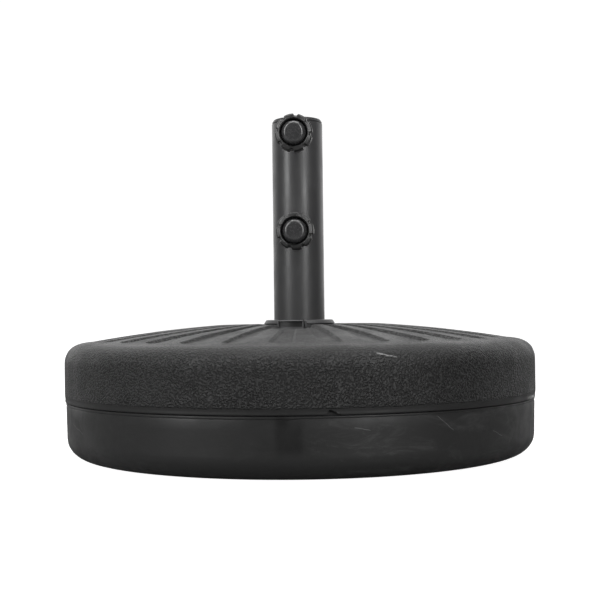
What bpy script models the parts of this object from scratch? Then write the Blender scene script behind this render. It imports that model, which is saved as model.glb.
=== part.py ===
"""Parasol base: a round concrete-filled plastic stand with a turn-in steel tube and two clamp knobs.

Metres, +Z up, the clamp knobs at the front (-Y), the floor at Z = 0, the pole's axis on Z.
"""

import math

import bmesh
import bpy
from mathutils import Matrix

# Round base
BASE_R = 0.2250
LOWER_R = 0.2240
SHELL_T = 0.0035
LOWER_WALL = 0.0052
EDGE_R = 0.0200
SEAM_Z = 0.0523
BAND_TOP_Z = 0.0575
WALL_TOP_Z = 0.0877
DOME_R = 0.2028
DOME_Z = 0.1070
DOME_FALL = 0.424
HUB_HOLE_R = 0.0376
LIP_R_IN, LIP_R_OUT, LIP_TOP_Z = 0.2189, 0.2211, 0.0600

# Radial grooves of the top
GROOVES = 30
GROOVE_FIRST_DEG = -4.5
GROOVE_HALF_DEG = 3.0
GROOVE_R0, GROOVE_R1 = 0.0540, 0.1948
GROOVE_DEPTH = 0.0026
THUMB_HALF_W, THUMB_R1, THUMB_Z = 0.0145, 0.1180, 0.1182

# Ballast and hub socket
BALLAST_R, BALLAST_Z0, BALLAST_Z1, BALLAST_HOLE_R = 0.2185, 0.0092, 0.0780, 0.0374
PLUG_AT_R, PLUG_HOLE_R, PLUG_SEAT_R = 0.1300, 0.0160, 0.0202
SOCKET_R, SOCKET_BORE_R = 0.0368, 0.0312
SOCKET_Z0, SOCKET_FLOOR_Z, SOCKET_TOP_Z = 0.0039, 0.0080, 0.1172
TRACK_R, TRACK_Z0, TRACK_Z1 = 0.0342, 0.1046, 0.1108
LEDGE_R, LEDGE_Z0, LEDGE_Z1 = 0.0420, 0.1040, 0.1100
DRAIN_R = 0.0050

# Tube and what is fixed to it
TUBE_R, TUBE_BORE_R = 0.0246, 0.0231
TUBE_Z0, TUBE_Z1 = 0.0128, 0.3169
FIT = 0.0003
FOOT_FLANGE_R, FOOT_Z0, FOOT_TOP_Z, SEAT_Z, SEAT_R = 0.0300, 0.0084, 0.0560, 0.0180, 0.0195
RIVET_Z, RIVET_R = 0.0400, 0.0024
COLLAR_Z0, COLLAR_Z1 = 0.1178, 0.1262
COLLAR_TOP_R, COLLAR_FLANGE_R, COLLAR_WALL_R, SKIRT_R, SKIRT_Z0 = 0.0315, 0.0343, 0.0330, 0.0306, 0.1040
LUG_R, LUG_Z0, LUG_Z1, LUG_HALF_DEG = 0.0336, 0.1056, 0.1100, 7.0
TURN_DEG = 25.0
SLEEVE_R, SLEEVE_BORE_R, SLEEVE_Z0, SLEEVE_Z1 = 0.0228, 0.0193, 0.1850, 0.3213

# Release tab in the collar
TAB_MID_DEG, TAB_HALF_DEG = -15.0, 21.5
TAB_R_IN, TAB_R_OUT, TAB_Z0, TAB_Z1 = 0.0319, 0.0359, 0.1181, 0.1260
POCKET_R, POCKET_MORE_DEG = 0.0300, 1.3
STOP_MID_DEG, STOP_HALF_DEG, STOP_R_IN, STOP_TOP_Z = 9.4, 1.6, 0.0348, 0.1250

# Clamp knobs: distances along the screw's axis, measured outwards from the pole's axis
CLAMP_DEG = -3.6
KNOB_Z = {"upper": 0.3008, "lower": 0.2090}
KNOB_TURN = {"upper": 38.0, "lower": 28.0}
PAD_R, PAD_IN, PAD_OUT, PAD_SOCKET_R = 0.0062, 0.0197, 0.0238, 0.0034
PAD_HOLE_SLEEVE_R, PAD_HOLE_TUBE_R = 0.0070, 0.0068
NUT_R, NUT_BORE_R, NUT_OUT = 0.0100, 0.0054, 0.0330
SCREW_R, SCREW_IN, HEAD_IN, HEAD_OUT, HEAD_R = 0.0048, 0.0242, 0.0482, 0.0530, 0.0092
KNOB_R, KNOB_IN, KNOB_OUT, LOBES, NOTCH = 0.01775, 0.0440, 0.0560, 8, 0.0017
NECK_R, NECK_IN = 0.0095, 0.0425
RECESS_R, RECESS_IN = 0.0127, 0.0478
CAP_R, CAP_OUT = 0.0116, 0.0586


def clear_scene():
    for obj in list(bpy.data.objects):
        bpy.data.objects.remove(obj, do_unlink=True)


def collection(name):
    made = bpy.data.collections.new(name)
    bpy.context.scene.collection.children.link(made)
    return made


def material(name, colour, roughness, metallic=0.0):
    made = bpy.data.materials.new(name)
    made.use_nodes = True
    shader = made.node_tree.nodes["Principled BSDF"]
    shader.inputs["Base Color"].default_value = (*colour, 1.0)
    shader.inputs["Roughness"].default_value = roughness
    shader.inputs["Metallic"].default_value = metallic
    return made


def new_object(name, verts, edges, faces):
    mesh = bpy.data.meshes.new(name)
    mesh.from_pydata(verts, edges, faces)
    obj = bpy.data.objects.new(name, mesh)
    PARTS.objects.link(obj)
    return obj


def bake(obj):
    """Turns the modifiers into a clean, closed mesh that faces outwards, round faces smooth."""
    bpy.context.view_layer.update()
    graph = bpy.context.evaluated_depsgraph_get()
    mesh = bpy.data.meshes.new_from_object(obj.evaluated_get(graph))
    obj.modifiers.clear()
    obj.data = mesh
    work = bmesh.new()
    work.from_mesh(mesh)
    bmesh.ops.remove_doubles(work, verts=work.verts, dist=2e-6)
    bmesh.ops.dissolve_degenerate(work, edges=work.edges, dist=1e-6)
    bmesh.ops.recalc_face_normals(work, faces=work.faces)
    work.to_mesh(mesh)
    work.free()
    for face in mesh.polygons:
        face.use_smooth = True
    mesh.set_sharp_from_angle(angle=math.radians(32))
    return obj


def lathe(name, profile, steps):
    """A closed outline of (radius, height) points turned round Z."""
    count = len(profile)
    edges = [(i, (i + 1) % count) for i in range(count)]
    if profile[0][0] < 1e-7 and profile[-1][0] < 1e-7:
        edges = edges[:-1]
    obj = new_object(name, [(r, 0.0, z) for r, z in profile], edges, [])
    screw = obj.modifiers.new("Screw", "SCREW")
    screw.axis = "Z"
    screw.angle = math.tau
    screw.steps = steps
    screw.render_steps = steps
    screw.use_merge_vertices = True
    screw.merge_threshold = 1e-5
    return bake(obj)


def loft(name, rings):
    """Rings of points, all of one length, joined in order and closed at both ends."""
    count = len(rings[0])
    verts = [point for ring in rings for point in ring]
    faces = [tuple(reversed(range(count)))]
    for level in range(len(rings) - 1):
        low = level * count
        for i in range(count):
            j = (i + 1) % count
            faces.append((low + i, low + j, low + count + j, low + count + i))
    faces.append(tuple(range((len(rings) - 1) * count, len(rings) * count)))
    return bake(new_object(name, verts, [], faces))


def prism(name, outline, z0, z1):
    return loft(name, [[(x, y, z) for x, y in outline] for z in (z0, z1)])


def polar(radius, degrees):
    """A point in plan: 0 degrees is the front (-Y) and positive degrees go to +X."""
    angle = math.radians(degrees)
    return radius * math.sin(angle), -radius * math.cos(angle)


def arc_outline(r_in, r_out, mid, half, steps):
    angles = [mid - half + 2 * half * i / steps for i in range(steps + 1)]
    return [polar(r_out, a) for a in angles] + [polar(r_in, a) for a in reversed(angles)]


def boolean(obj, other, operation):
    step = obj.modifiers.new(operation, "BOOLEAN")
    step.operation = operation
    step.solver = "EXACT"
    step.object = other
    bake(obj)
    bpy.data.objects.remove(other, do_unlink=True)
    return obj


def cut(obj, cutter):
    return boolean(obj, cutter, "DIFFERENCE")


def join(obj, other):
    return boolean(obj, other, "UNION")


def lay_along_clamp(obj, height):
    """Local +Z becomes the screw's outward direction, with the origin on the screw's axis."""
    turn = Matrix.Rotation(math.radians(CLAMP_DEG), 4, "Z") @ Matrix.Rotation(math.pi / 2, 4, "X")
    obj.matrix_world = Matrix.Translation((0.0, 0.0, height)) @ turn
    return obj


def clamp_hole(obj, height, radius, start, end):
    return cut(obj, lay_along_clamp(lathe("hole", rod(radius, start, end), 24), height))


def rod(radius, z0, z1):
    return [(0.0, z1), (radius, z1), (radius, z0), (0.0, z0)]


def ring(r_in, r_out, z0, z1):
    return [(r_in, z1), (r_out, z1), (r_out, z0), (r_in, z0)]


def dome_z(radius):
    """Height of the top: a shallow dome that sinks a little round the collar."""
    height = DOME_Z + DOME_FALL * (DOME_R**2 - radius**2)
    near = max(0.0, (0.078 - radius) / (0.078 - HUB_HOLE_R))
    return height - 0.0052 * near**1.6


def shoulder(count, inset=0.0):
    """The rounding from the dome's edge down to the wall, as (radius, height) points."""
    points = []
    for i in range(count + 1):
        t = math.radians(90.0 - 90.0 * i / count)
        across = (BASE_R - DOME_R) * math.cos(t) ** (2 / 2.2)
        up = (DOME_Z - WALL_TOP_Z) * math.sin(t) ** (2 / 2.2)
        points.append((DOME_R + across - inset * math.cos(t), WALL_TOP_Z + up - inset * math.sin(t)))
    return points


def build_upper_shell():
    radii = (HUB_HOLE_R, 0.043, 0.050, 0.060, 0.078, 0.100, 0.130, 0.160, 0.185)
    outer = [(r, dome_z(r)) for r in radii] + shoulder(5)
    outer += [(BASE_R, BAND_TOP_Z), (BASE_R - 0.0010, BAND_TOP_Z - 0.0015), (BASE_R - 0.0008, SEAM_Z + 0.0002)]
    inner = [(BASE_R - SHELL_T, SEAM_Z + 0.0002), (BASE_R - SHELL_T, WALL_TOP_Z - 0.002)]
    inner += list(reversed(shoulder(3, 0.0065)))[1:]
    inner += [(r, dome_z(r) - 0.0065) for r in (0.160, 0.100, 0.060, HUB_HOLE_R)]
    shell = lathe("upper_shell", outer + inner, 60)
    cut(shell, groove_cutters())
    return cut(shell, thumb_cutter())


def groove_cutters():
    """A dome-shaped layer, kept only where the grooves run."""
    radii = [GROOVE_R0 - 0.004, 0.078, 0.100, 0.130, 0.160, 0.185, GROOVE_R1 + 0.004]
    floor = [(r, dome_z(r) - GROOVE_DEPTH) for r in radii]
    layer = lathe("layer", [(radii[0], 0.135), (radii[-1], 0.135)] + list(reversed(floor)), 60)
    fan = None
    for i in range(GROOVES):
        mid = GROOVE_FIRST_DEG + 360.0 / GROOVES * i
        wedge = prism("wedge", groove_outline(mid), 0.095, 0.140)
        if fan is None:
            fan = wedge
        else:
            fan = merge(fan, wedge)
    return boolean(layer, fan, "INTERSECT")


def groove_outline(mid):
    edge = GROOVE_R1 - 0.007
    points = [polar(GROOVE_R0, mid - GROOVE_HALF_DEG), polar(edge, mid - GROOVE_HALF_DEG)]
    for across in (-0.72, 0.0, 0.72):
        points.append(polar(GROOVE_R1 - 0.0042 * across**2, mid + GROOVE_HALF_DEG * across))
    points += [polar(edge, mid + GROOVE_HALF_DEG), polar(GROOVE_R0, mid + GROOVE_HALF_DEG)]
    return points


def merge(obj, other):
    """Adds another object's separate body to this mesh."""
    work = bmesh.new()
    work.from_mesh(obj.data)
    work.from_mesh(other.data)
    work.to_mesh(obj.data)
    work.free()
    bpy.data.objects.remove(other, do_unlink=True)
    return obj


def thumb_cutter():
    """The flat in front of the release tab."""
    outline = [(-THUMB_HALF_W, -0.030), (-THUMB_HALF_W, -THUMB_R1)]
    for i in range(1, 6):
        angle = math.radians(180.0 + 30.0 * i)
        outline.append((THUMB_HALF_W * math.cos(angle), -THUMB_R1 + THUMB_HALF_W * math.sin(angle)))
    outline += [(THUMB_HALF_W, -THUMB_R1), (THUMB_HALF_W, -0.030)]
    flat = prism("flat", outline, THUMB_Z, 0.135)
    turn_mid = Matrix.Rotation(math.radians(TAB_MID_DEG * 0.29), 4, "Z")
    flat.data.transform(turn_mid)
    return flat


def build_lower_shell():
    outer = [(LIP_R_IN, LIP_TOP_Z), (LIP_R_OUT, LIP_TOP_Z), (LIP_R_OUT, SEAM_Z - 0.0003)]
    outer += [(LOWER_R - 0.0006, SEAM_Z - 0.0003), (LOWER_R, SEAM_Z - 0.0013), (LOWER_R - 0.0008, EDGE_R)]
    for i in range(1, 6):
        t = math.radians(18.0 * i)
        outer.append((LOWER_R - 0.0008 - EDGE_R * (1 - math.cos(t)), EDGE_R * (1 - math.sin(t))))
    wall = LOWER_R - LOWER_WALL
    inner = [(DRAIN_R, 0.0), (DRAIN_R, 0.0035), (wall - 0.020, 0.0035), (wall - 0.006, 0.0094)]
    inner += [(wall, 0.0240)]
    shell = lathe("lower_shell", outer + inner, 60)
    for side in (-1, 1):
        hole = lathe("hole", rod(PLUG_HOLE_R, -0.002, 0.006), 28)
        seat = lathe("seat", rod(PLUG_SEAT_R, -0.002, 0.0017), 28)
        for cutter in (hole, seat):
            cutter.location.x = side * PLUG_AT_R
            cut(shell, cutter)
    return shell


def build_ballast():
    wall = BALLAST_R
    outline = [(BALLAST_HOLE_R, BALLAST_Z1 + 0.002), (0.120, BALLAST_Z1 + 0.001), (wall, BALLAST_Z1)]
    outline += [(wall, 0.0262), (wall - 0.0075, 0.0125), (wall - 0.0150, BALLAST_Z0), (BALLAST_HOLE_R, BALLAST_Z0)]
    return lathe("concrete_ballast", outline, 48)


def build_plug(name, side):
    outline = [(0.0, 0.0040), (0.0130, 0.0040), (0.0140, 0.0086), (0.0154, 0.0086), (0.0157, 0.0022)]
    outline += [(0.0157, 0.0014), (0.0197, 0.0014), (0.0197, 0.0003), (0.0, 0.0003)]
    plug = lathe(name, outline, 28)
    plug.location.x = side * PLUG_AT_R
    return plug


def build_socket():
    outline = [(DRAIN_R, SOCKET_FLOOR_Z), (SOCKET_BORE_R, SOCKET_FLOOR_Z), (SOCKET_BORE_R, TRACK_Z0)]
    outline += [(TRACK_R, TRACK_Z0), (TRACK_R, TRACK_Z1), (SOCKET_BORE_R, TRACK_Z1), (SOCKET_BORE_R, SOCKET_TOP_Z)]
    outline += [(SOCKET_R, SOCKET_TOP_Z), (SOCKET_R, LEDGE_Z1), (LEDGE_R, LEDGE_Z1), (LEDGE_R, LEDGE_Z0 + 0.002)]
    outline += [(SOCKET_R, LEDGE_Z0), (SOCKET_R, SOCKET_Z0), (DRAIN_R, SOCKET_Z0)]
    socket = lathe("hub_socket", outline, 40)
    for i in range(3):
        slot = arc_outline(SOCKET_BORE_R - 0.002, TRACK_R, 60.0 - 33.0 + 120.0 * i, LUG_HALF_DEG + 1.5, 3)
        cut(socket, prism("slot", slot, TRACK_Z1 - 0.0006, SOCKET_TOP_Z + 0.002))
    stop = arc_outline(STOP_R_IN, SOCKET_R - 0.0001, STOP_MID_DEG, STOP_HALF_DEG, 2)
    return join(socket, prism("stop", stop, SOCKET_TOP_Z - 0.0015, STOP_TOP_Z))


def build_tube():
    tube = lathe("tube", ring(TUBE_BORE_R, TUBE_R, TUBE_Z0, TUBE_Z1), 48)
    for height in KNOB_Z.values():
        clamp_hole(tube, height, PAD_HOLE_TUBE_R, 0.010, 0.030)
    return cut(tube, cross_pin("hole", RIVET_R + FIT))


def cross_pin(name, radius):
    """A round bar across the tube at the rivets' height."""
    bar = lathe(name, rod(radius, -0.030, 0.030), 16)
    bar.data.transform(Matrix.Translation((0, 0, RIVET_Z)) @ Matrix.Rotation(math.pi / 2, 4, "Y"))
    return bar


def build_foot():
    plug_r = TUBE_BORE_R - FIT
    outline = [(SEAT_R, FOOT_TOP_Z), (plug_r - 0.001, FOOT_TOP_Z), (plug_r, FOOT_TOP_Z - 0.003)]
    outline += [(plug_r, TUBE_Z0 - FIT), (FOOT_FLANGE_R, TUBE_Z0 - FIT), (FOOT_FLANGE_R, FOOT_Z0)]
    outline += [(0.0040, FOOT_Z0), (0.0040, SEAT_Z), (SEAT_R - 0.001, SEAT_Z), (SEAT_R, SEAT_Z + 0.002)]
    return cut(lathe("tube_foot", outline, 40), cross_pin("hole", RIVET_R + FIT))


def build_rivet(name, side):
    outline = [(0.0, 0.0266), (0.0022, 0.0262), (0.0042, 0.0249), (RIVET_R, 0.0249), (RIVET_R, 0.0198), (0.0, 0.0198)]
    rivet = lathe(name, outline, 16)
    rivet.matrix_world = Matrix.Translation((0, 0, RIVET_Z)) @ Matrix.Rotation(side * math.pi / 2, 4, "Y")
    return rivet


def build_collar():
    bore = TUBE_R + FIT
    outline = [(bore, COLLAR_Z1), (COLLAR_TOP_R, COLLAR_Z1), (COLLAR_TOP_R + 0.0010, COLLAR_Z1 - 0.0004)]
    outline += [(COLLAR_FLANGE_R, 0.1231), (COLLAR_FLANGE_R, 0.1225), (COLLAR_WALL_R, 0.1220)]
    outline += [(COLLAR_WALL_R, COLLAR_Z0), (SKIRT_R, COLLAR_Z0), (SKIRT_R, SKIRT_Z0), (bore, SKIRT_Z0)]
    collar = lathe("collar_ring", outline, 40)
    half = TAB_HALF_DEG + POCKET_MORE_DEG
    pocket = arc_outline(POCKET_R, 0.040, TAB_MID_DEG, half, 8)
    cut(collar, prism("pocket", pocket, COLLAR_Z0 - 0.0005, 0.130))
    for i in range(3):
        lug = arc_outline(SKIRT_R - 0.001, LUG_R, 60.0 + 120.0 * i, LUG_HALF_DEG, 3)
        join(collar, prism("lug", lug, LUG_Z0, LUG_Z1))
    return collar


def build_tab():
    """The curved push tab, with its top corners rounded and a hollow in its face."""
    steps = 8
    rings = []
    face_r = TAB_R_OUT
    levels = ((TAB_Z0, 0.0), (TAB_Z1 - 0.0018, 0.0), (TAB_Z1 - 0.0006, 1.2), (TAB_Z1, 3.0))
    for z, less in levels:
        outline = arc_outline(TAB_R_IN, face_r, TAB_MID_DEG, TAB_HALF_DEG - less, steps)
        rings.append([(x, y, z) for x, y in outline])
    tab = loft("release_tab", rings)
    hollow = arc_outline(face_r - 0.0012, face_r + 0.003, TAB_MID_DEG, TAB_HALF_DEG - 3.2, steps)
    return cut(tab, prism("hollow", hollow, TAB_Z0 + 0.0016, TAB_Z1 - 0.0011))


def build_tab_spring():
    outline = arc_outline(POCKET_R + 0.0003, POCKET_R + 0.0007, TAB_MID_DEG, TAB_HALF_DEG - 3.0, 8)
    return prism("tab_spring", outline, TAB_Z0 + 0.0008, TAB_Z1 - 0.0012)


def build_sleeve():
    rim = TUBE_Z1 + FIT
    outline = [(SLEEVE_BORE_R, SLEEVE_Z1 - 0.0006), (SLEEVE_BORE_R + 0.0006, SLEEVE_Z1), (0.0220, SLEEVE_Z1)]
    outline += [(0.0231, SLEEVE_Z1 - 0.0005), (0.0239, SLEEVE_Z1 - 0.0014), (0.0242, SLEEVE_Z1 - 0.0024)]
    outline += [(0.0242, rim), (SLEEVE_R, rim), (SLEEVE_R, SLEEVE_Z0), (SLEEVE_BORE_R, SLEEVE_Z0)]
    sleeve = lathe("reducer_sleeve", outline, 40)
    for height in KNOB_Z.values():
        clamp_hole(sleeve, height, PAD_HOLE_SLEEVE_R, 0.010, 0.030)
    return sleeve


def build_nut(which):
    """A round boss, its back hollowed to sit on the tube."""
    height = KNOB_Z[which]
    outline = [(NUT_BORE_R, NUT_OUT), (NUT_R - 0.0012, NUT_OUT), (NUT_R, NUT_OUT - 0.0012), (NUT_R, 0.0215)]
    nut = lay_along_clamp(lathe("weld_nut_" + which, outline + [(NUT_BORE_R, 0.0215)], 28), height)
    return cut(nut, lathe("tube_space", rod(TUBE_R + FIT, height - 0.03, height + 0.03), 48))


def build_screw(which):
    outline = [(0.0, HEAD_OUT), (HEAD_R * 0.85, HEAD_OUT), (HEAD_R, HEAD_OUT - 0.0007), (HEAD_R, HEAD_IN)]
    outline += [(SCREW_R, HEAD_IN)]
    for z in (0.0405, 0.0375, 0.0345):
        outline += [(SCREW_R, z), (SCREW_R - 0.0007, z - 0.0008), (SCREW_R, z - 0.0016)]
    outline += [(SCREW_R, SCREW_IN + 0.0005), (SCREW_R - 0.0005, SCREW_IN), (0.0029, SCREW_IN)]
    outline += [(0.0029, 0.0226), (0.0, 0.0226)]
    return lay_along_clamp(lathe("clamp_screw_" + which, outline, 16), KNOB_Z[which])


def build_pad(which):
    outline = [(0.0, 0.0221), (PAD_SOCKET_R, 0.0221), (PAD_SOCKET_R, PAD_OUT), (PAD_R - 0.0005, PAD_OUT)]
    outline += [(PAD_R, PAD_OUT - 0.0005), (PAD_R, PAD_IN + 0.0008), (PAD_R - 0.0008, PAD_IN), (0.0, PAD_IN)]
    return lay_along_clamp(lathe("pressure_pad_" + which, outline, 20), KNOB_Z[which])


def knob_radius(degrees, phase):
    """Radius of the grip: eight broad lobes with a small notch between each pair."""
    step = 360.0 / LOBES
    off = abs((degrees - phase + step / 2) % step - step / 2)
    notch = max(0.0, 1.0 - off / 6.5)
    return KNOB_R - NOTCH * notch**0.8


def knob_angles(phase):
    step = 360.0 / LOBES
    offsets = (-6.5, -2.0, 2.0, 6.5, 14.5, step - 14.5)
    return [phase + step * i + off for i in range(LOBES) for off in offsets]


def build_knob(which):
    phase = KNOB_TURN[which]
    rings = []
    levels = ((KNOB_IN, 0.0012), (KNOB_IN + 0.0010, 0.0), (KNOB_OUT - 0.0024, 0.0))
    levels += ((KNOB_OUT - 0.0011, 0.0005), (KNOB_OUT - 0.0003, 0.0018))
    for z, inset in levels:
        ring_points = []
        for degrees in knob_angles(phase):
            radius = knob_radius(degrees, phase) - inset
            angle = math.radians(degrees)
            ring_points.append((radius * math.cos(angle), radius * math.sin(angle), z))
        rings.append(ring_points)
    knob = loft("knob_" + which, rings)
    lip = RECESS_R + 0.0011
    join(knob, lathe("lip", ring(RECESS_R - 0.001, lip, KNOB_OUT - 0.0015, KNOB_OUT), 32))
    join(knob, lathe("neck", rod(NECK_R, NECK_IN, KNOB_IN + 0.001), 32))
    cut(knob, lathe("recess", rod(RECESS_R, RECESS_IN, 0.060), 32))
    cut(knob, lathe("bore", rod(SCREW_R + FIT, 0.040, 0.060), 20))
    return lay_along_clamp(knob, KNOB_Z[which])


def build_cap(which):
    outline = [(0.0, CAP_OUT), (0.0040, CAP_OUT - 0.0002), (0.0074, CAP_OUT - 0.0010), (0.0083, CAP_OUT - 0.0016)]
    outline += [(0.0092, CAP_OUT - 0.0018), (0.0106, CAP_OUT - 0.0030), (CAP_R, CAP_OUT - 0.0052)]
    outline += [(CAP_R, RECESS_IN + 0.0004), (CAP_R - 0.0016, RECESS_IN + 0.0004), (CAP_R - 0.0016, 0.0542)]
    outline += [(0.0, 0.0552)]
    return lay_along_clamp(lathe("knob_cap_" + which, outline, 28), KNOB_Z[which])


def dress(objects, made):
    for obj in objects:
        obj.data.materials.clear()
        obj.data.materials.append(made)


clear_scene()
PARTS = collection("parasol_base")
upper_shell = build_upper_shell()
lower_shell = build_lower_shell()
ballast = build_ballast()
plugs = [build_plug("filler_plug_left", -1), build_plug("filler_plug_right", 1)]
socket = build_socket()
tube = build_tube()
foot = build_foot()
rivets = [build_rivet("foot_rivet_left", -1), build_rivet("foot_rivet_right", 1)]
collar = build_collar()
tab = build_tab()
spring = build_tab_spring()
sleeve = build_sleeve()
nuts = [build_nut(which) for which in KNOB_Z]
screws = [build_screw(which) for which in KNOB_Z]
pads = [build_pad(which) for which in KNOB_Z]
knobs = [build_knob(which) for which in KNOB_Z]
caps = [build_cap(which) for which in KNOB_Z]

dress([upper_shell], material("Textured black polyethylene", (0.030, 0.030, 0.032), 0.62))
dress([lower_shell], material("Smooth black polyethylene", (0.028, 0.028, 0.030), 0.42))
dress([ballast], material("Concrete", (0.42, 0.41, 0.39), 0.92))
dress(plugs + [socket, foot], material("Black polypropylene", (0.022, 0.022, 0.024), 0.50))
dress([tube], material("Charcoal powder coat", (0.060, 0.061, 0.066), 0.42))
dress([collar, tab, sleeve], material("Moulded black plastic", (0.026, 0.026, 0.028), 0.45))
dress(rivets, material("Aluminium rivet", (0.72, 0.72, 0.74), 0.35, 1.0))
dress([spring], material("Spring steel", (0.50, 0.50, 0.52), 0.30, 1.0))
dress(nuts, material("Coated weld boss", (0.055, 0.056, 0.060), 0.45))
dress(screws, material("Zinc-plated steel", (0.62, 0.62, 0.60), 0.30, 1.0))
dress(pads, material("Natural nylon", (0.62, 0.60, 0.54), 0.45))
dress(knobs, material("Grip plastic", (0.022, 0.022, 0.024), 0.40))
dress(caps, material("Glossy black plastic", (0.018, 0.018, 0.020), 0.18))
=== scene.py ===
"""The parasol base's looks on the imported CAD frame: meshes, procedural finishes, studio light, camera.

Metres, +Z up, the clamp knobs at the front (-Y), the floor at Z = 0, the pole's axis on Z.
Azimuths are degrees from the front (-Y), positive towards +X.
"""

import math

import bmesh
import bpy
import numpy as np
from mathutils import Matrix, Vector


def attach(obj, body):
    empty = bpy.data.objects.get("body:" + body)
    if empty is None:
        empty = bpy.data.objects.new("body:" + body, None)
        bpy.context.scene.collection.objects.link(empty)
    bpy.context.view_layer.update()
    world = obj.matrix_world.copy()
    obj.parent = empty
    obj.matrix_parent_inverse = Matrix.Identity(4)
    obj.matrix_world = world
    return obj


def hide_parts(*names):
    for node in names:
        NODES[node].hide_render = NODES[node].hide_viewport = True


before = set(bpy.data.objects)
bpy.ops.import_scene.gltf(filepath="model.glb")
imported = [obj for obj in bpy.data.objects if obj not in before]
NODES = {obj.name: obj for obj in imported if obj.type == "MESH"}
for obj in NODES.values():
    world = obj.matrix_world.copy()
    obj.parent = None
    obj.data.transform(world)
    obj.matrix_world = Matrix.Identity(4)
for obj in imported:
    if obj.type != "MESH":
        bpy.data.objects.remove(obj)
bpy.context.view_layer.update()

# Round base, the same figures as the CAD
BASE_R, LOWER_R, SHELL_T = 0.2250, 0.2240, 0.0035
LOWER_WALL, EDGE_R = 0.0052, 0.0200
SEAM_Z, BAND_TOP_Z, WALL_TOP_Z = 0.0523, 0.0575, 0.0877
DOME_R, DOME_Z, DOME_FALL, HUB_HOLE_R = 0.2028, 0.1070, 0.424, 0.0376
LIP_R_IN, LIP_R_OUT, LIP_TOP_Z = 0.2189, 0.2211, 0.0600
GROOVES, GROOVE_FIRST_DEG, GROOVE_HALF_DEG = 30, -4.5, 3.0
GROOVE_R0, GROOVE_R1, GROOVE_DEPTH = 0.0540, 0.1948, 0.0026
THUMB_HALF_W, THUMB_R1, THUMB_Z, THUMB_DEG = 0.0145, 0.1180, 0.1182, -4.4
DRAIN_R, PLUG_AT_R, PLUG_HOLE_R, PLUG_SEAT_R = 0.0050, 0.1300, 0.0160, 0.0202
FLOOR_T, PLUG_SEAT_TOP_Z, PLUG_HOLE_TOP_Z = 0.0035, 0.0017, 0.0060

# Details of the round base's surface
HUB_DIP_R, HUB_DIP, HUB_DIP_POWER, DOME_T = 0.078, 0.0052, 1.6, 0.0065
SHOULDER_POWER, GROOVE_END_BOW = 2 / 2.2, 0.0042
NICK_DEG, NICK_HEIGHT = (4.95, 5.75, 8.2), 0.0046
FLAKE_DEG, FLAKE_SHAPE = (-3.1, -2.6, -0.9, -0.2), (0.0, 1.0, 0.6, 0.0)
BEAD_DROP, FLAKE_DROP, FLASH, WALL_WAVE = 0.0006, 0.0009, 0.00022, 0.00022
WALL_FROM_R, WALL_FACE_FROM_R = 0.2150, 0.2225

# Hub socket, tube and collar
SOCKET_R, SOCKET_BORE_R = 0.0368, 0.0312
SOCKET_Z0, SOCKET_FLOOR_Z, SOCKET_TOP_Z = 0.0039, 0.0080, 0.1172
TRACK_R, TRACK_Z0, TRACK_Z1 = 0.0342, 0.1046, 0.1108
LEDGE_R, LEDGE_Z0, LEDGE_Z1 = 0.0420, 0.1040, 0.1100
STOP_MID_DEG, STOP_HALF_DEG, STOP_R_IN, STOP_TOP_Z = 9.4, 1.6, 0.0348, 0.1250
TUBE_R, TUBE_BORE_R, TUBE_Z0, TUBE_Z1, FIT = 0.0246, 0.0231, 0.0128, 0.3169, 0.0003
COLLAR_Z0, COLLAR_Z1, COLLAR_TOP_R, COLLAR_FLANGE_R = 0.1178, 0.1262, 0.0315, 0.0343
COLLAR_WALL_R, SKIRT_R, SKIRT_Z0 = 0.0330, 0.0306, 0.1040
FLANGE_EDGE_Z1, FLANGE_EDGE_Z0, FLANGE_UNDER_Z = 0.1231, 0.1225, 0.1220
LUG_R, LUG_Z0, LUG_Z1, LUG_HALF_DEG, LUG_FIRST_DEG, LUG_STEP_DEG = 0.0336, 0.1056, 0.1100, 7.0, 60.0, 120.0
LUG_SLOT_BACK_DEG, LUG_SLOT_MORE_DEG = 33.0, 1.5
TUBE_RING_Z, RIVET_HOLE_R, RIVET_Z = 0.2000, 0.0027, 0.0400
TAB_MID_DEG, TAB_HALF_DEG = -15.0, 21.5
TAB_R_IN, TAB_R_OUT, TAB_Z0, TAB_Z1 = 0.0319, 0.0359, 0.1181, 0.1260
TAB_HOLLOW, TAB_CORNER, TAB_CORNER_DEG, TAB_EDGE_ROUND = 0.0022, 0.0020, 3.0, 0.0005
POCKET_R, POCKET_MORE_DEG = 0.0300, 1.3
SLEEVE_R, SLEEVE_BORE_R, SLEEVE_Z0, SLEEVE_Z1 = 0.0228, 0.0193, 0.1850, 0.3213

# Clamp knobs, distances along the screw's axis outwards from the pole's axis
CLAMP_DEG = -3.6
KNOB_Z = {"upper": 0.3008, "lower": 0.2090}
KNOB_TURN = {"upper": 38.0, "lower": 28.0}
PAD_HOLE_SLEEVE_R, PAD_HOLE_TUBE_R = 0.0070, 0.0068
NUT_R, NUT_BORE_R, NUT_IN, NUT_OUT, WELD_R = 0.0100, 0.0054, 0.0215, 0.0330, 0.00085
SCREW_R, SCREW_IN, HEAD_IN, HEAD_OUT, HEAD_R = 0.0048, 0.0242, 0.0482, 0.0530, 0.0092
THREAD_PITCH, THREAD_OUT, THREAD_DEPTH, PIN_R, PIN_IN = 0.0015, 0.0415, 0.00062, 0.0029, 0.0226
KNOB_R, KNOB_IN, KNOB_OUT, LOBES = 0.01775, 0.0440, 0.0560, 8
NOTCH, NOTCH_HALF_DEG, NOTCH_RAMP_DEG, LOBE_CROWN = 0.0017, 8.0, 3.8, 0.00022
NOTCH_COLUMNS, LOBE_COLUMNS = (0.0, 2.6, 4.0, 4.6, 5.6, 6.8, 7.6, 8.4, 9.4), 8
NECK_R, NECK_IN, RECESS_R, RECESS_IN = 0.0095, 0.0425, 0.0127, 0.0478
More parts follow.
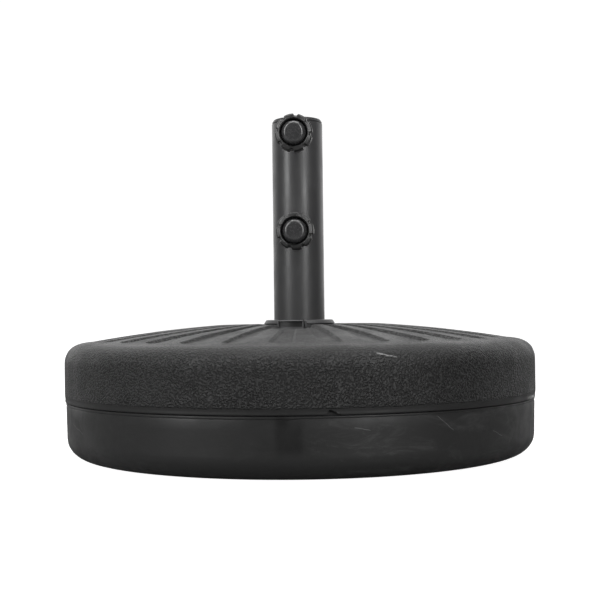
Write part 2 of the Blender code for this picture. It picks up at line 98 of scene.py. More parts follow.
CAP_R, CAP_OUT = 0.0116, 0.0586

# Meshing
SHARP_DEG, CORNER_STEPS, CORNER_REACH = 38.0, 3, 0.42


# ---------------------------------------------------------------- meshes


def clean(obj, sharp_deg=SHARP_DEG):
    """Joins doubled points, faces every face outwards and shades the round parts smooth."""
    work = bmesh.new()
    work.from_mesh(obj.data)
    bmesh.ops.remove_doubles(work, verts=work.verts, dist=1.5e-6)
    bmesh.ops.dissolve_degenerate(work, edges=work.edges, dist=1e-6)
    bmesh.ops.recalc_face_normals(work, faces=work.faces)
    for face in work.faces:
        face.smooth = True
    work.to_mesh(obj.data)
    work.free()
    obj.data.set_sharp_from_angle(angle=math.radians(sharp_deg))
    return obj


def grid_object(name, points, wrap_rows):
    """A mesh from points[row, column, xyz]. Columns always close round; rows close too if wrap_rows."""
    rows, columns = points.shape[:2]
    index = np.arange(rows * columns).reshape(rows, columns)
    below = np.roll(index, -1, axis=0) if wrap_rows else index[1:]
    above = index if wrap_rows else index[:-1]
    quads = np.stack([above, np.roll(above, -1, 1), np.roll(below, -1, 1), below], -1).reshape(-1, 4)
    mesh = bpy.data.meshes.new(name)
    mesh.vertices.add(rows * columns)
    mesh.vertices.foreach_set("co", points.reshape(-1).astype(np.float32))
    mesh.loops.add(quads.size)
    mesh.loops.foreach_set("vertex_index", quads.reshape(-1).astype(np.int32))
    mesh.polygons.add(len(quads))
    mesh.polygons.foreach_set("loop_start", np.arange(0, quads.size, 4, dtype=np.int32))
    mesh.update(calc_edges=True)
    obj = bpy.data.objects.new(name, mesh)
    bpy.context.scene.collection.objects.link(obj)
    return obj


def soften(points, radius):
    """Rounds every corner of a closed outline by up to radius."""
    made = []
    for i, corner in enumerate(points):
        here = np.array(corner)
        back, ahead = (np.array(points[(i + d) % len(points)]) - here for d in (-1, 1))
        to_back, to_ahead = np.linalg.norm(back), np.linalg.norm(ahead)
        start = here + back / to_back * min(radius, CORNER_REACH * to_back)
        end = here + ahead / to_ahead * min(radius, CORNER_REACH * to_ahead)
        for step in range(CORNER_STEPS + 1):
            s = step / CORNER_STEPS
            made.append(tuple((1 - s) ** 2 * start + 2 * s * (1 - s) * here + s * s * end))
    return made


def turned(name, profile, columns, warp=None, closed=True, sharp_deg=SHARP_DEG):
    """An outline of (radius, height) points turned round Z. warp(radius, height, azimuth) moves them.

    columns is a number of even steps, or a list of azimuths.
    """
    outline = np.array(profile, float)
    columns = np.arange(columns) * 360.0 / columns if np.isscalar(columns) else np.asarray(columns)
    radius = np.repeat(outline[:, :1], len(columns), 1)
    height = np.repeat(outline[:, 1:], len(columns), 1)
    azimuth = np.repeat(columns[None, :], len(outline), 0)
    if warp:
        radius, height = warp(radius, height, azimuth)
    angle = np.radians(azimuth)
    points = np.stack([radius * np.sin(angle), -radius * np.cos(angle), height], -1)
    return clean(grid_object(name, points, closed), sharp_deg)


def polar(radius, degrees):
    """The x and y of a point at this azimuth."""
    angle = math.radians(degrees)
    return radius * math.sin(angle), -radius * math.cos(angle)


def arc_outline(r_in, r_out, mid, half, steps):
    """A stretch of a flat ring: half degrees to each side of mid."""
    angles = [mid - half + 2 * half * i / steps for i in range(steps + 1)]
    return [polar(r_out, a) for a in angles] + [polar(r_in, a) for a in reversed(angles)]


def prism(name, outline, z0, z1):
    """A flat outline raised straight up."""
    count = len(outline)
    mesh = bpy.data.meshes.new(name)
    verts = [(x, y, z) for z in (z0, z1) for x, y in outline]
    sides = [(i, (i + 1) % count, count + (i + 1) % count, count + i) for i in range(count)]
    mesh.from_pydata(verts, [], [tuple(reversed(range(count)))] + sides + [tuple(range(count, 2 * count))])
    obj = bpy.data.objects.new(name, mesh)
    bpy.context.scene.collection.objects.link(obj)
    return clean(obj)


def settle(obj):
    """Swaps the mesh for what its modifier makes of it."""
    bpy.context.view_layer.update()
    mesh = bpy.data.meshes.new_from_object(obj.evaluated_get(bpy.context.evaluated_depsgraph_get()))
    obj.modifiers.clear()
    obj.data = mesh


def combine(obj, other, operation, sharp_deg=SHARP_DEG):
    """Cuts other from obj, or joins the two, and drops other."""
    step = obj.modifiers.new(operation, "BOOLEAN")
    step.operation = operation
    step.solver = "EXACT"
    step.object = other
    settle(obj)
    bpy.data.objects.remove(other, do_unlink=True)
    return clean(obj, sharp_deg)


def cut(obj, cutter, sharp_deg=SHARP_DEG):
    return combine(obj, cutter, "DIFFERENCE", sharp_deg)


def absorb(obj, *others):
    """Adds other closed meshes to this piece's mesh."""
    work = bmesh.new()
    work.from_mesh(obj.data)
    for other in others:
        work.from_mesh(other.data)
        bpy.data.objects.remove(other, do_unlink=True)
    work.to_mesh(obj.data)
    work.free()
    obj.data.set_sharp_from_angle(angle=math.radians(SHARP_DEG))
    return obj


def rod(radius, z0, z1):
    """The outline of a solid round rod, for turned()."""
    return [(0.0, z1), (radius, z1), (radius, z0), (0.0, z0)]


def lay_along_clamp(obj, height):
    """Local +Z becomes the screw's outward direction, with the origin on the screw's axis."""
    turn = Matrix.Rotation(math.radians(CLAMP_DEG), 4, "Z") @ Matrix.Rotation(math.pi / 2, 4, "X")
    obj.data.transform(Matrix.Translation((0.0, 0.0, height)) @ turn)
    return obj


def pad_holes(obj, radius):
    """Cuts the two holes that the pressure pads pass through."""
    for height in KNOB_Z.values():
        hole = turned("hole", rod(radius, 0.010, 0.030), 48, closed=False)
        cut(obj, lay_along_clamp(hole, height))
    return obj


# ---------------------------------------------------------------- the two shells


def smooth_step(low, high, value):
    t = np.clip((value - low) / (high - low), 0.0, 1.0)
    return t * t * (3.0 - 2.0 * t)


def wrapped(azimuth, centre=0.0, period=360.0):
    """Degrees from the nearest centre, counted every period."""
    return (azimuth - centre + period / 2) % period - period / 2


def ripple(azimuth, seed, turns):
    """A smooth repeatable wobble round the base, from -1 to 1."""
    source = np.random.default_rng(seed)
    total = np.zeros_like(azimuth)
    for cycles in turns:
        total = total + np.sin(np.radians(azimuth) * cycles + source.uniform(0, math.tau))
    return total / len(turns)


def dome_z(radius):
    """The dome's height, dipping a little near the hub."""
    near = np.maximum(0.0, (HUB_DIP_R - radius) / (HUB_DIP_R - HUB_HOLE_R))
    return DOME_Z + DOME_FALL * (DOME_R**2 - radius**2) - HUB_DIP * near**HUB_DIP_POWER


def groove_share(radius, azimuth):
    """1 on a groove's floor, 0 outside it, with a rounded edge between."""
    off = wrapped(azimuth, GROOVE_FIRST_DEG, 360.0 / GROOVES)
    side = radius * np.radians(GROOVE_HALF_DEG - np.abs(off))
    outer = GROOVE_R1 - GROOVE_END_BOW * (off / GROOVE_HALF_DEG) ** 2 - radius
    inner = radius - GROOVE_R0
    return smooth_step(-0.0006, 0.0012, np.minimum(np.minimum(side, outer), inner))


def thumb_share(radius, azimuth):
    """1 on the round-ended flat in front of the tab, 0 outside it."""
    angle = np.radians(azimuth - THUMB_DEG)
    across, ahead = radius * np.sin(angle), radius * np.cos(angle)
    past_end = np.maximum(ahead - THUMB_R1, 0.0)
    inside = THUMB_HALF_W - np.hypot(across, past_end)
    return smooth_step(-0.0015, 0.0015, np.where(ahead > 0, inside, -1.0))


def shoulder(count, inset=0.0):
    """The rounding from the dome down to the wall, a little squarer than an ellipse."""
    points = []
    for i in range(count + 1):
        t = math.radians(90.0 - 90.0 * i / count)
        across = (BASE_R - DOME_R) * math.cos(t) ** SHOULDER_POWER
        up = (DOME_Z - WALL_TOP_Z) * math.sin(t) ** SHOULDER_POWER
        points.append((DOME_R + across - inset * math.cos(t), WALL_TOP_Z + up - inset * math.sin(t)))
    return points


def nick_line(azimuth):
    """How far the band's lower edge is chipped away: one small triangle near the front."""
    return NICK_HEIGHT * np.interp(wrapped(azimuth), NICK_DEG, (0.0, 1.0, 0.0), 0.0, 0.0)


def shape_upper(radius, height, azimuth):
    """Grooves, thumb flat, the chip in the band and its ragged moulding flash."""
    top = height > dome_z(radius) - 0.0010
    on_dome = top & (radius < DOME_R + 1e-6)
    height = height - np.where(on_dome, GROOVE_DEPTH * groove_share(radius, azimuth), 0.0)
    flat = np.minimum(height, THUMB_Z)
    height = np.where(on_dome, height + (flat - height) * thumb_share(radius, azimuth), height)
    at_wall = radius > WALL_FROM_R
    low = at_wall & (height < BAND_TOP_Z + 0.0006)
    ragged = FLASH * ripple(azimuth, 5, (23, 41, 67, 97, 131))
    edge = SEAM_Z + 0.0002 + np.maximum(nick_line(azimuth), ragged - 0.00005)
    height = np.where(low & (height < BAND_TOP_Z - 0.0008), np.maximum(height, edge), height)
    height = np.where(low, np.maximum(height, SEAM_Z + 0.0002 + nick_line(azimuth)), height)
    wave = WALL_WAVE * ripple(azimuth, 11, (3, 5, 8, 13))
    radius = np.where(at_wall & (radius > WALL_FACE_FROM_R), radius - WALL_WAVE + wave, radius)
    return radius, height


def build_upper_shell():
    # closest together at the two ends of the grooves
    spans = ((0.0392, 0.0520, 5), (0.0528, 0.0570, 6), (0.0610, 0.1830, 23), (0.1845, 0.1988, 16))
    radii = np.concatenate([np.linspace(*span) for span in spans])
    hub = [(HUB_HOLE_R, dome_z(HUB_HOLE_R) - 0.0009), (HUB_HOLE_R + 0.0002, dome_z(0.0378) - 0.0003)]
    outer = hub + [(HUB_HOLE_R + 0.0007, dome_z(0.0383))]
    outer += [(r, dome_z(r)) for r in radii] + shoulder(11)
    outer += [(BASE_R, z) for z in (0.0800, 0.0720, 0.0640, 0.0592)]
    band = [(0.0001, 0.0578), (0.0002, 0.0570), (0.0003, 0.0563), (0.0004, 0.0556), (0.0004, 0.0545)]
    band += [(0.0002, 0.0532), (0.0004, SEAM_Z + 0.0004), (0.0009, SEAM_Z + 0.0002)]
    outer += [(BASE_R - inset, z) for inset, z in band]
    inner = [(BASE_R - SHELL_T, z) for z in (SEAM_Z + 0.0002, 0.0570, WALL_TOP_Z - 0.002)]
    inner += list(reversed(shoulder(3, DOME_T)))[1:]
    inner += [(r, dome_z(r) - DOME_T) for r in (0.160, 0.100, 0.060, HUB_HOLE_R)]
    shell = turned("upper_shell_moulding", outer + inner, 1080, shape_upper, sharp_deg=60.0)
    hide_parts("upper_shell")
    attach(shell, "base")
    return shell


def shape_lower(radius, height, azimuth):
    """The bead under the seam, deeper on one side of the front, with a flake of flash."""
    off = wrapped(azimuth)
    wide = 1.0 - smooth_step(-3.0, -1.5, off) * (1.0 - smooth_step(95.0, 120.0, off))
    flake = np.interp(off, FLAKE_DEG, FLAKE_SHAPE, 0.0, 0.0)
    drop = BEAD_DROP * wide + FLAKE_DROP * flake + 0.00012 * ripple(azimuth, 3, (19, 31, 53, 83))
    on_face = radius > WALL_FACE_FROM_R
    bead_foot = on_face & (height < SEAM_Z - 0.0015) & (height > SEAM_Z - 0.0026)
    height = np.where(bead_foot, height - drop, height)
    wave = 0.0002 * ripple(azimuth, 29, (2, 3, 5, 7))
    radius = np.where(on_face & (height < SEAM_Z), radius - 0.0002 + wave, radius)
    return radius, height


def build_lower_shell():
    lip = [(LIP_R_IN, LIP_TOP_Z - 0.0006), (LIP_R_IN + 0.0006, LIP_TOP_Z), (LIP_R_OUT - 0.0006, LIP_TOP_Z)]
    lip += [(LIP_R_OUT, LIP_TOP_Z - 0.0006), (LIP_R_OUT, SEAM_Z - 0.0003)]
    bead = ((0.0009, 0.0003), (0.0003, 0.0005), (0.0, 0.0010), (0.0, 0.0016), (0.0002, 0.0020))
    bead += ((0.0007, 0.0023), (0.0007, 0.0026), (0.0002, 0.0045))
    wall = [(LOWER_R - inset, SEAM_Z - below) for inset, below in bead]
    wall += [(LOWER_R - 0.0004, 0.0400), (LOWER_R - 0.0006, 0.0300), (LOWER_R - 0.0008, EDGE_R + 0.002)]
    corner = []
    for i in range(15):
        t = math.radians(90.0 * i / 14)
        corner.append((LOWER_R - 0.0008 - EDGE_R * (1 - math.cos(t)), EDGE_R * (1 - math.sin(t))))
    floor = [(radius, 0.0) for radius in (0.1600, 0.1000, 0.0400, DRAIN_R)]
    floor += [(DRAIN_R, FLOOR_T), (0.100, FLOOR_T)]
    inside = LOWER_R - LOWER_WALL
    inner = [(inside - 0.020, FLOOR_T), (inside - 0.006, 0.0094), (inside, 0.0240)]
    outline = lip + wall + corner + floor + inner
    shell = turned("lower_shell_moulding", outline, 720, shape_lower, sharp_deg=50.0)
    for side in (-1, 1):
        for radius, top in ((PLUG_HOLE_R, PLUG_HOLE_TOP_Z), (PLUG_SEAT_R, PLUG_SEAT_TOP_Z)):
            cutter = turned("hole", rod(radius, -0.002, top), 64, closed=False)
            cutter.data.transform(Matrix.Translation((side * PLUG_AT_R, 0.0, 0.0)))
            cut(shell, cutter, 50.0)
    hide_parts("lower_shell")
    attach(shell, "base")
    return shell


# ---------------------------------------------------------------- hub, collar and tab


def build_socket():
    """The socket with its bayonet track, three slots down into the track, and the stop beside the tab."""
    outline = [(DRAIN_R, SOCKET_FLOOR_Z), (SOCKET_BORE_R, SOCKET_FLOOR_Z), (SOCKET_BORE_R, TRACK_Z0)]
    outline += [(TRACK_R, TRACK_Z0), (TRACK_R, TRACK_Z1), (SOCKET_BORE_R, TRACK_Z1)]
    outline += [(SOCKET_BORE_R, SOCKET_TOP_Z), (SOCKET_R, SOCKET_TOP_Z), (SOCKET_R, LEDGE_Z1)]
    outline += [(LEDGE_R, LEDGE_Z1), (LEDGE_R, LEDGE_Z0 + 0.002), (SOCKET_R, LEDGE_Z0)]
    outline += [(SOCKET_R, SOCKET_Z0), (DRAIN_R, SOCKET_Z0)]
    socket = turned("hub_socket_moulding", soften(outline, 0.0004), 120)
    for i in range(3):
        middle = LUG_FIRST_DEG - LUG_SLOT_BACK_DEG + LUG_STEP_DEG * i
        slot = arc_outline(SOCKET_BORE_R - 0.002, TRACK_R, middle, LUG_HALF_DEG + LUG_SLOT_MORE_DEG, 8)
        cut(socket, prism("slot", slot, TRACK_Z1 - 0.0006, SOCKET_TOP_Z + 0.002))
    post = arc_outline(STOP_R_IN, SOCKET_R - 0.0001, STOP_MID_DEG, STOP_HALF_DEG, 6)
    stop = prism("stop", post, SOCKET_TOP_Z + 0.0001, STOP_TOP_Z)
    rounding = stop.modifiers.new("Bevel", "BEVEL")
    rounding.width, rounding.segments = 0.0004, 2
    settle(stop)
    foot = prism("stop_foot", post, SOCKET_TOP_Z - 0.0010, STOP_TOP_Z - 0.0012)
    combine(socket, foot, "UNION")
    combine(socket, clean(stop), "UNION")
    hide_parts("hub_socket")
    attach(socket, "base")
    return socket


def build_collar():
    """The flange and skirt round the tube, with the tab's pocket and three bayonet lugs."""
    bore = TUBE_R + FIT
    outline = [(bore, COLLAR_Z1), (COLLAR_TOP_R, COLLAR_Z1), (COLLAR_TOP_R + 0.0010, COLLAR_Z1 - 0.0004)]
    outline += [(COLLAR_FLANGE_R, FLANGE_EDGE_Z1), (COLLAR_FLANGE_R, FLANGE_EDGE_Z0)]
    outline += [(COLLAR_WALL_R, FLANGE_UNDER_Z)]
    outline += [(COLLAR_WALL_R, COLLAR_Z0), (SKIRT_R, COLLAR_Z0), (SKIRT_R, SKIRT_Z0), (bore, SKIRT_Z0)]
    collar = turned("collar_moulding", soften(outline, 0.0005), 144)
    half = TAB_HALF_DEG + POCKET_MORE_DEG
    pocket = arc_outline(POCKET_R, 0.040, TAB_MID_DEG, half, 30)
    cut(collar, prism("pocket", pocket, COLLAR_Z0 - 0.0005, 0.130))
    for i in range(3):
        lug = arc_outline(SKIRT_R - 0.001, LUG_R, LUG_FIRST_DEG + LUG_STEP_DEG * i, LUG_HALF_DEG, 8)
        combine(collar, prism("lug", lug, LUG_Z0, LUG_Z1), "UNION")
    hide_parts("collar_ring")
    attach(collar, "tube_assembly")
    return collar


def build_tab():
    """A curved push tab: rounded top corners, a raised rim and a hollow face."""
    across = np.linspace(-1.0, 1.0, 73)
    levels = np.linspace(0.0, 1.0, 25)
    level, side = np.meshgrid(levels, across, indexing="ij")
    height = TAB_Z0 + (TAB_Z1 - TAB_Z0) * level
    corner = np.maximum(0.0, (height - (TAB_Z1 - TAB_CORNER)) / TAB_CORNER)
    half = TAB_HALF_DEG - TAB_CORNER_DEG * (1.0 - np.sqrt(np.maximum(0.0, 1.0 - corner**2)))
    azimuth = TAB_MID_DEG + half * side
    from_side = TAB_R_OUT * np.radians(half * (1.0 - np.abs(side)))
    from_top, from_foot = TAB_Z1 - height, height - TAB_Z0
    edge = np.minimum(np.minimum(from_side, from_top), from_foot + 0.0004)
    hollow = smooth_step(0.0010, 0.0016, edge)
    rounding = TAB_EDGE_ROUND * (1.0 - smooth_step(0.0, 0.0006, np.minimum(from_side, from_top)))
    front = TAB_R_OUT - TAB_HOLLOW * hollow - rounding
    back = np.full_like(front, TAB_R_IN)
    sheets = []
    for radius in (front, back):
        angle = np.radians(azimuth)
        sheets.append(np.stack([radius * np.sin(angle), -radius * np.cos(angle), height], -1))
    loops = np.concatenate([sheets[0], sheets[1][:, ::-1]], axis=1)
    middle = (sheets[0] + sheets[1]) / 2
    floor = np.concatenate([middle[:1], middle[:1, ::-1]], axis=1)
    roof = np.concatenate([middle[-1:], middle[-1:, ::-1]], axis=1)
    points = np.concatenate([floor, loops, roof], axis=0)
    tab = clean(grid_object("release_tab_moulding", points, False))
    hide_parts("release_tab")
    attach(tab, "tab")
    return tab


# ---------------------------------------------------------------- tube, sleeve and weld bosses


def build_tube():
    """The steel tube, with holes for the two pads and the two rivets of its foot."""
    # the ring under the pad holes leaves the wall below them as plain strips
    outline = [(TUBE_BORE_R, TUBE_Z1), (TUBE_R, TUBE_Z1), (TUBE_R, TUBE_RING_Z), (TUBE_R, TUBE_Z0)]
    outline += [(TUBE_BORE_R, TUBE_Z0)]
    tube = turned("tube_steel", soften(outline, 0.0005), 160)
    pad_holes(tube, PAD_HOLE_TUBE_R)
    hole = turned("hole", rod(RIVET_HOLE_R, -0.030, 0.030), 32, closed=False)
    hole.data.transform(Matrix.Translation((0, 0, RIVET_Z)) @ Matrix.Rotation(math.pi / 2, 4, "Y"))
    cut(tube, hole)
    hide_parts("tube")
    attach(tube, "tube_assembly")
    return tube


def build_sleeve():
    """The plastic insert, with a rounded flange stepped once below its top."""
    rim = TUBE_Z1 + FIT
    outline = [(SLEEVE_BORE_R, SLEEVE_Z1 - 0.0009), (SLEEVE_BORE_R + 0.0008, SLEEVE_Z1), (0.0215, SLEEVE_Z1)]
    outline += [(0.0225, SLEEVE_Z1 - 0.0003), (0.0232, SLEEVE_Z1 - 0.0010), (0.0234, SLEEVE_Z1 - 0.0017)]
    outline += [(0.0234, SLEEVE_Z1 - 0.0020), (0.0239, SLEEVE_Z1 - 0.0022), (0.0242, SLEEVE_Z1 - 0.0027)]
    outline += [(0.0242, rim), (SLEEVE_R, rim), (SLEEVE_R, SLEEVE_Z0), (SLEEVE_BORE_R, SLEEVE_Z0)]
    sleeve = turned("reducer_sleeve_moulding", soften(outline, 0.00025), 144)
    pad_holes(sleeve, PAD_HOLE_SLEEVE_R)
    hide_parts("reducer_sleeve")
    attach(sleeve, "tube_assembly")
    return sleeve


def weld_bead(height, seed):
    """A rippled bead of weld that follows the joint between the boss and the round tube."""
    source = np.random.default_rng(seed)
    turn = np.radians(np.arange(96) * 360.0 / 96)[None, :]
    section = np.radians(np.arange(10) * 36.0)[:, None]
    ripple_size = WELD_R * (1 + 0.10 * np.sin(turn * 19 + source.uniform(0, 6)) + 0.08 * np.sin(turn * 7))
    at = NUT_R + 0.0001 + 0.0002 * np.sin(turn * 3 + source.uniform(0, 6)) + ripple_size * np.cos(section)
    sideways, upwards = at * np.cos(turn), at * np.sin(turn)
    depth = np.sqrt(TUBE_R**2 - sideways**2) + 0.0003 + ripple_size * np.sin(section)
    points = np.stack([sideways, upwards, depth], -1)
    return lay_along_clamp(clean(grid_object("bead", points, True)), height)


def build_nut(which):
    """A round boss, cut to sit on the tube and welded round its foot."""
    height = KNOB_Z[which]
    outline = [(NUT_BORE_R, NUT_OUT), (NUT_R - 0.0012, NUT_OUT), (NUT_R, NUT_OUT - 0.0012)]
    outline += [(NUT_R, NUT_IN), (NUT_BORE_R, NUT_IN)]
    nut = lay_along_clamp(turned("weld_boss_" + which, soften(outline, 0.0004), 64), height)
    cut(nut, turned("tube_space", rod(TUBE_R + 0.00005, height - 0.03, height + 0.03), 160, closed=False))
    absorb(nut, weld_bead(height, 7 if which == "upper" else 8))
    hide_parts("weld_nut_" + which)
    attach(nut, "tube_assembly")
    return nut


# ---------------------------------------------------------------- clamp screws, knobs and caps


def build_screw(which):
    """A headed screw with a real helical thread."""
    start, end = SCREW_IN + 0.0004, THREAD_OUT
    steps = int(round((end - start) / THREAD_PITCH * 10))
    thread = [(SCREW_R, end - (end - start) * i / steps) for i in range(steps + 1)]

    def cut_thread(radius, height, azimuth):
        phase = (height / THREAD_PITCH + azimuth / 360.0) % 1.0
        deep = np.clip(1.35 - np.abs(phase - 0.5) * 4.0, 0.0, 1.0)
        fade = smooth_step(end, end - 0.0008, height) * smooth_step(start - 1e-4, start + 0.0006, height)
        on_thread = (np.abs(radius - SCREW_R) < 1e-6) & (height <= end + 1e-6)
        return np.where(on_thread, radius - THREAD_DEPTH * deep * fade, radius), height

    head = [(0.0, HEAD_OUT), (HEAD_R * 0.80, HEAD_OUT), (HEAD_R * 0.95, HEAD_OUT - 0.0004)]
    head += [(HEAD_R, HEAD_OUT - 0.0011), (HEAD_R, HEAD_IN + 0.0003), (HEAD_R - 0.0003, HEAD_IN)]
    shank = [(SCREW_R, HEAD_IN), (SCREW_R, KNOB_IN)]
    tip = [(SCREW_R - 0.0005, SCREW_IN), (PIN_R, SCREW_IN), (PIN_R, PIN_IN + 0.0002)]
    tip += [(PIN_R - 0.0002, PIN_IN), (0.0, PIN_IN)]
    outline = head + shank + thread + tip
    screw = turned("clamp_screw_thread_" + which, outline, 48, cut_thread, closed=False)
    lay_along_clamp(screw, KNOB_Z[which])
    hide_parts("clamp_screw_" + which)
    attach(screw, "knob_and_screw_" + which)
    return screw


def knob_columns():
    """Azimuths round the grip, close together at the eight notches."""
    offsets = sorted({side * off for side in (1, -1) for off in NOTCH_COLUMNS})
    step, last = 360.0 / LOBES, NOTCH_COLUMNS[-1]
    offsets += [last + (step - 2 * last) * i / LOBE_COLUMNS for i in range(1, LOBE_COLUMNS)]
    return [step * i + off for i in range(LOBES) for off in offsets]


def build_knob(which):
    """An eight-lobed grip with a neck behind and a round recess for the cap in front."""

    def notch_grip(radius, height, azimuth):
        off = np.abs(wrapped(azimuth, 0.0, 360.0 / LOBES))
        notch = np.clip((NOTCH_HALF_DEG - off) / NOTCH_RAMP_DEG, 0.0, 1.0)
        from_lobe = np.radians(wrapped(azimuth, 180.0 / LOBES, 360.0 / LOBES))
        crown = LOBE_CROWN * np.cos(from_lobe * LOBES / 2)
        share = smooth_step(RECESS_R + 0.0011, RECESS_R + 0.0030, radius)
        return radius - share * (NOTCH * notch + 0.00010 - np.minimum(crown, 0.0001)), height

    top = [(0.0150, KNOB_OUT - 0.00035), (0.0161, KNOB_OUT - 0.0006), (0.0169, KNOB_OUT - 0.0010)]
    top += [(0.01745, KNOB_OUT - 0.0016), (KNOB_R, KNOB_OUT - 0.0025)]
    side = [(KNOB_R, KNOB_OUT - 0.0060), (KNOB_R, KNOB_IN + 0.0012), (KNOB_R - 0.0004, KNOB_IN + 0.0004)]
    side += [(KNOB_R - 0.0012, KNOB_IN), (0.0142, KNOB_IN), (NECK_R + 0.0004, KNOB_IN)]
    side += [(NECK_R, KNOB_IN - 0.0003)]
    neck = [(NECK_R, NECK_IN + 0.0004), (NECK_R - 0.0004, NECK_IN), (SCREW_R + FIT, NECK_IN)]
    recess = [(SCREW_R + FIT, RECESS_IN), (RECESS_R - 0.0004, RECESS_IN), (RECESS_R, RECESS_IN + 0.0004)]
    recess += [(RECESS_R, KNOB_OUT - 0.0013), (RECESS_R + 0.0003, KNOB_OUT - 0.0008)]
    recess += [(RECESS_R + 0.0009, KNOB_OUT - 0.0001), (RECESS_R + 0.0012, KNOB_OUT)]
    outline = recess + top + side + neck
    knob = turned("knob_grip_" + which, outline, knob_columns(), notch_grip, sharp_deg=32.0)
    knob.data.transform(Matrix.Rotation(math.radians(KNOB_TURN[which] + 90.0), 4, "Z"))
    lay_along_clamp(knob, KNOB_Z[which])
    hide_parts("knob_" + which)
    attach(knob, "knob_and_screw_" + which)
    return knob


def build_cap(which):
    """A glossy cap, nearly flat in the middle and rounded over to its edge."""
    dome = [(0.0009 * i, CAP_OUT - 0.0006 * (i / 9.0) ** 2) for i in range(10)]
    ring = [(0.0087, CAP_OUT - 0.0009), (0.0092, CAP_OUT - 0.0012), (0.0097, CAP_OUT - 0.0016)]
    ring += [(0.0102, CAP_OUT - 0.0021), (0.0106, CAP_OUT - 0.0027), (0.0110, CAP_OUT - 0.0035)]
    ring += [(0.0113, CAP_OUT - 0.0044), (0.0115, CAP_OUT - 0.0054)]
    skirt = [(CAP_R, CAP_OUT - 0.0060), (CAP_R, RECESS_IN + 0.0006), (CAP_R - 0.0002, RECESS_IN + 0.0004)]
    skirt += [(CAP_R - 0.0016, RECESS_IN + 0.0004), (CAP_R - 0.0016, 0.0542), (0.0, 0.0552)]
    cap = turned("knob_cap_gloss_" + which, dome + ring + skirt, 96, closed=False)
    lay_along_clamp(cap, KNOB_Z[which])
    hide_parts("knob_cap_" + which)
    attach(cap, "knob_and_screw_" + which)
    return cap


# ---------------------------------------------------------------- finishes

# Heights where the upper shell's surface changes
BAND_EDGE_Z = (0.0574, 0.0586)
WALL_GRAIN_FADES_Z, FINE_GRAIN_STARTS_Z, DUST_STARTS_Z = (0.0900, 0.1040), (0.0950, 0.1050), (0.1030, 0.1080)
PEBBLE_HEIGHT, FINE_GRAIN_HEIGHT = 0.00190, 0.00110

# Scratches: centre azimuth, centre height, half length in degrees, fall per degree, half width
UPPER_SCRATCH = (18.0, 0.0983, 2.3, 0.00085, 0.00060)
LOWER_SCRATCHES = (
    (31.5, 0.0422, 2.4, 0.0030, 0.00030),
    (12.5, 0.0410, 1.8, 0.0008, 0.00026),
    (-62.0, 0.0330, 4.0, 0.0009, 0.00026),
    (48.0, 0.0290, 2.0, 0.0015, 0.00026),
)


def grey(level):
    return (level, level, level)


def scaled(colour, factor):
    return tuple(channel * factor for channel in colour)


